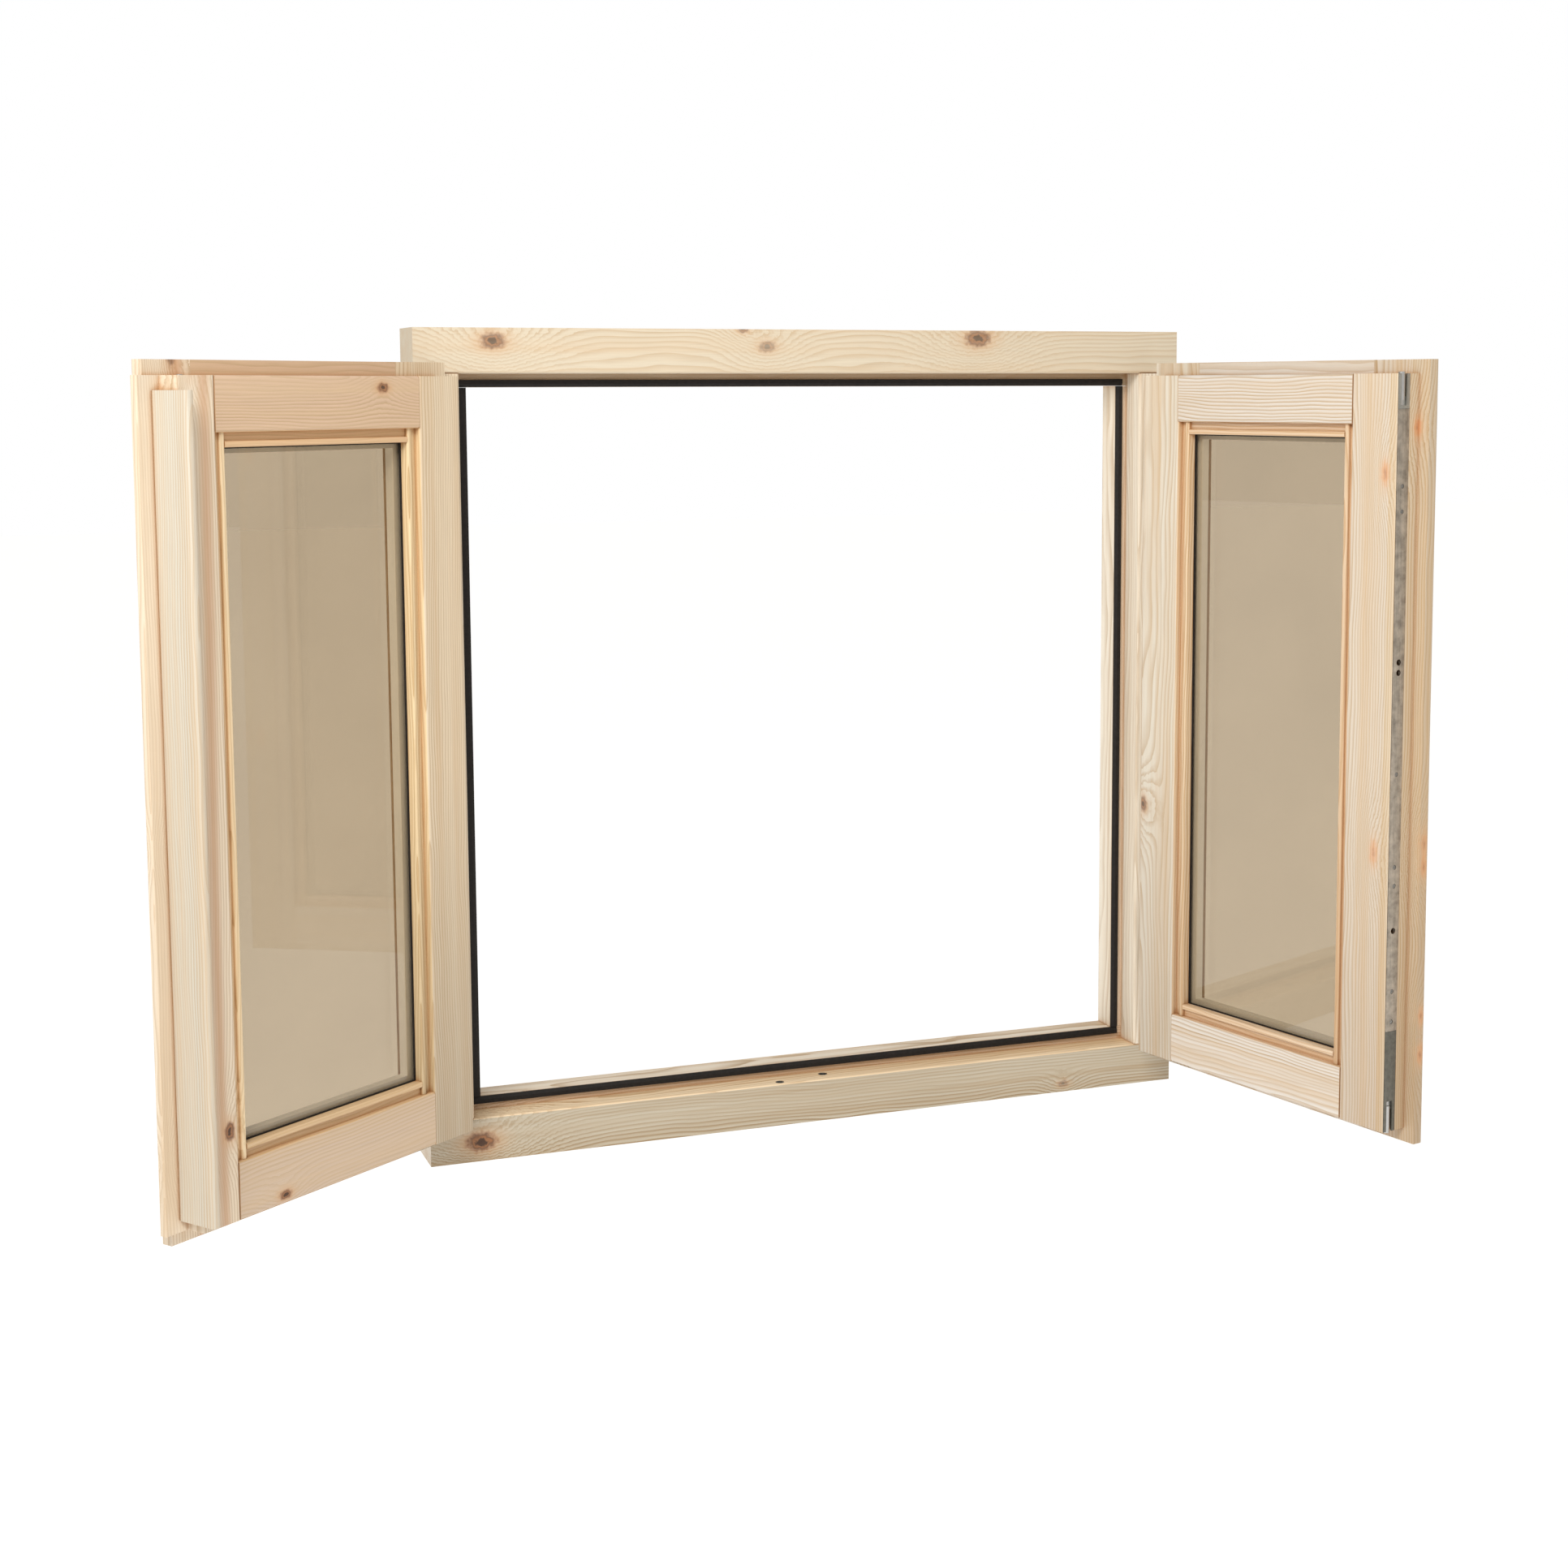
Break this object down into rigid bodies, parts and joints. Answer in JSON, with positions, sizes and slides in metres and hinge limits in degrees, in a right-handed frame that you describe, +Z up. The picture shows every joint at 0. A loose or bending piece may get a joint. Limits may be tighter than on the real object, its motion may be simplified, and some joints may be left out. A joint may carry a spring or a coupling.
{
  "type": "casement window",
  "caption": "Two-sash inward-opening pine casement window with double glazing, hinges, edge lock and slide bolts, both sashes open.",
  "frame": {"origin": "middle of the frame sill's underside, halfway through the frame's depth", "axes": "+X along the window's width, +Y towards outdoors, +Z up"},
  "size_m": [1.4157, 0.5556, 1],
  "materials": {
    "pine": "bare planed pine, satin",
    "rubber": "matt black seal",
    "steel": "galvanised",
    "spacer": "satin",
    "glass": "clear float glass"
  },
  "bodies": {
    "frame": {"frame_head": "pine", "frame_jamb_left": "pine", "frame_jamb_right": "pine", "frame_seal_head": "rubber", "frame_seal_left": "rubber", "frame_seal_right": "rubber", "frame_seal_sill": "rubber", "frame_sill": "pine", "left_hinge_lower_frame": "steel", "left_hinge_upper_frame": "steel", "left_socket_head": "steel", "left_socket_sill": "steel", "right_hinge_lower_frame": "steel", "right_hinge_upper_frame": "steel", "right_socket_head": "steel", "right_socket_sill": "steel"},
    "right_sash": {"lock_case": "steel", "lock_end_lower": "steel", "lock_end_upper": "steel", "lock_faceplate": "steel", "right_bead_bottom": "pine", "right_bead_free": "pine", "right_bead_hinge": "pine", "right_bead_top": "pine", "right_glazing_seal": "rubber", "right_hinge_lower_sash": "steel", "right_hinge_upper_sash": "steel", "right_pane_inner": "glass", "right_pane_outer": "glass", "right_rail_bottom": "pine", "right_rail_top": "pine", "right_spacer": "spacer", "right_stile_free": "pine", "right_stile_hinge": "pine"},
    "left_sash": {"left_batten": "pine", "left_bead_bottom": "pine", "left_bead_free": "pine", "left_bead_hinge": "pine", "left_bead_top": "pine", "left_bolt_cover_bottom": "steel", "left_bolt_cover_top": "steel", "left_glazing_seal": "rubber", "left_hinge_lower_sash": "steel", "left_hinge_upper_sash": "steel", "left_pane_inner": "glass", "left_pane_outer": "glass", "left_rail_bottom": "pine", "left_rail_top": "pine", "left_spacer": "spacer", "left_stile_free": "pine", "left_stile_hinge": "pine"},
    "lock_follower": {"lock_follower": "steel"},
    "lock_rod_upper": {"lock_rod_upper": "steel"},
    "lock_rod_lower": {"lock_rod_lower": "steel"},
    "left_bolt_top": {"left_slide_bolt_top": "steel"},
    "left_bolt_bottom": {"left_slide_bolt_bottom": "steel"}
  },
  "joints": [
    {"name": "right_sash_swing", "type": "hinge", "parent": "frame", "child": "right_sash", "pos_m": [0.4674, -0.0494, 0.5], "axis": [0, 0, 1], "range_deg": [-102.76, 67.24]},
    {"name": "left_sash_swing", "type": "hinge", "parent": "frame", "child": "left_sash", "pos_m": [-0.4674, -0.0494, 0.5], "axis": [0, 0, -1], "range_deg": [-143.73, 26.27]},
    {"name": "handle_turn", "type": "hinge", "parent": "right_sash", "child": "lock_follower", "pos_m": [0.53002, -0.48395, 0.44], "axis": [0.9753, 0.2209, 0], "range_deg": [0, 90]},
    {"name": "upper_rod_slide", "type": "slide", "parent": "right_sash", "child": "lock_rod_upper", "axis": [0, 0, 1], "range_m": [0, 0.016]},
    {"name": "lower_rod_slide", "type": "slide", "parent": "right_sash", "child": "lock_rod_lower", "axis": [0, 0, -1], "range_m": [0, 0.016]},
    {"name": "left_top_bolt_slide", "type": "slide", "parent": "left_sash", "child": "left_bolt_top", "axis": [0, 0, 1], "range_m": [0, 0.014]},
    {"name": "left_bottom_bolt_slide", "type": "slide", "parent": "left_sash", "child": "left_bolt_bottom", "axis": [0, 0, -1], "range_m": [0, 0.014]}
  ],
  "couplings": [
    {"joint": "lower_rod_slide", "follows": "upper_rod_slide", "ratio": 1},
    {"joint": "handle_turn", "follows": "upper_rod_slide", "rad_per_m": 98.17}
  ]
}
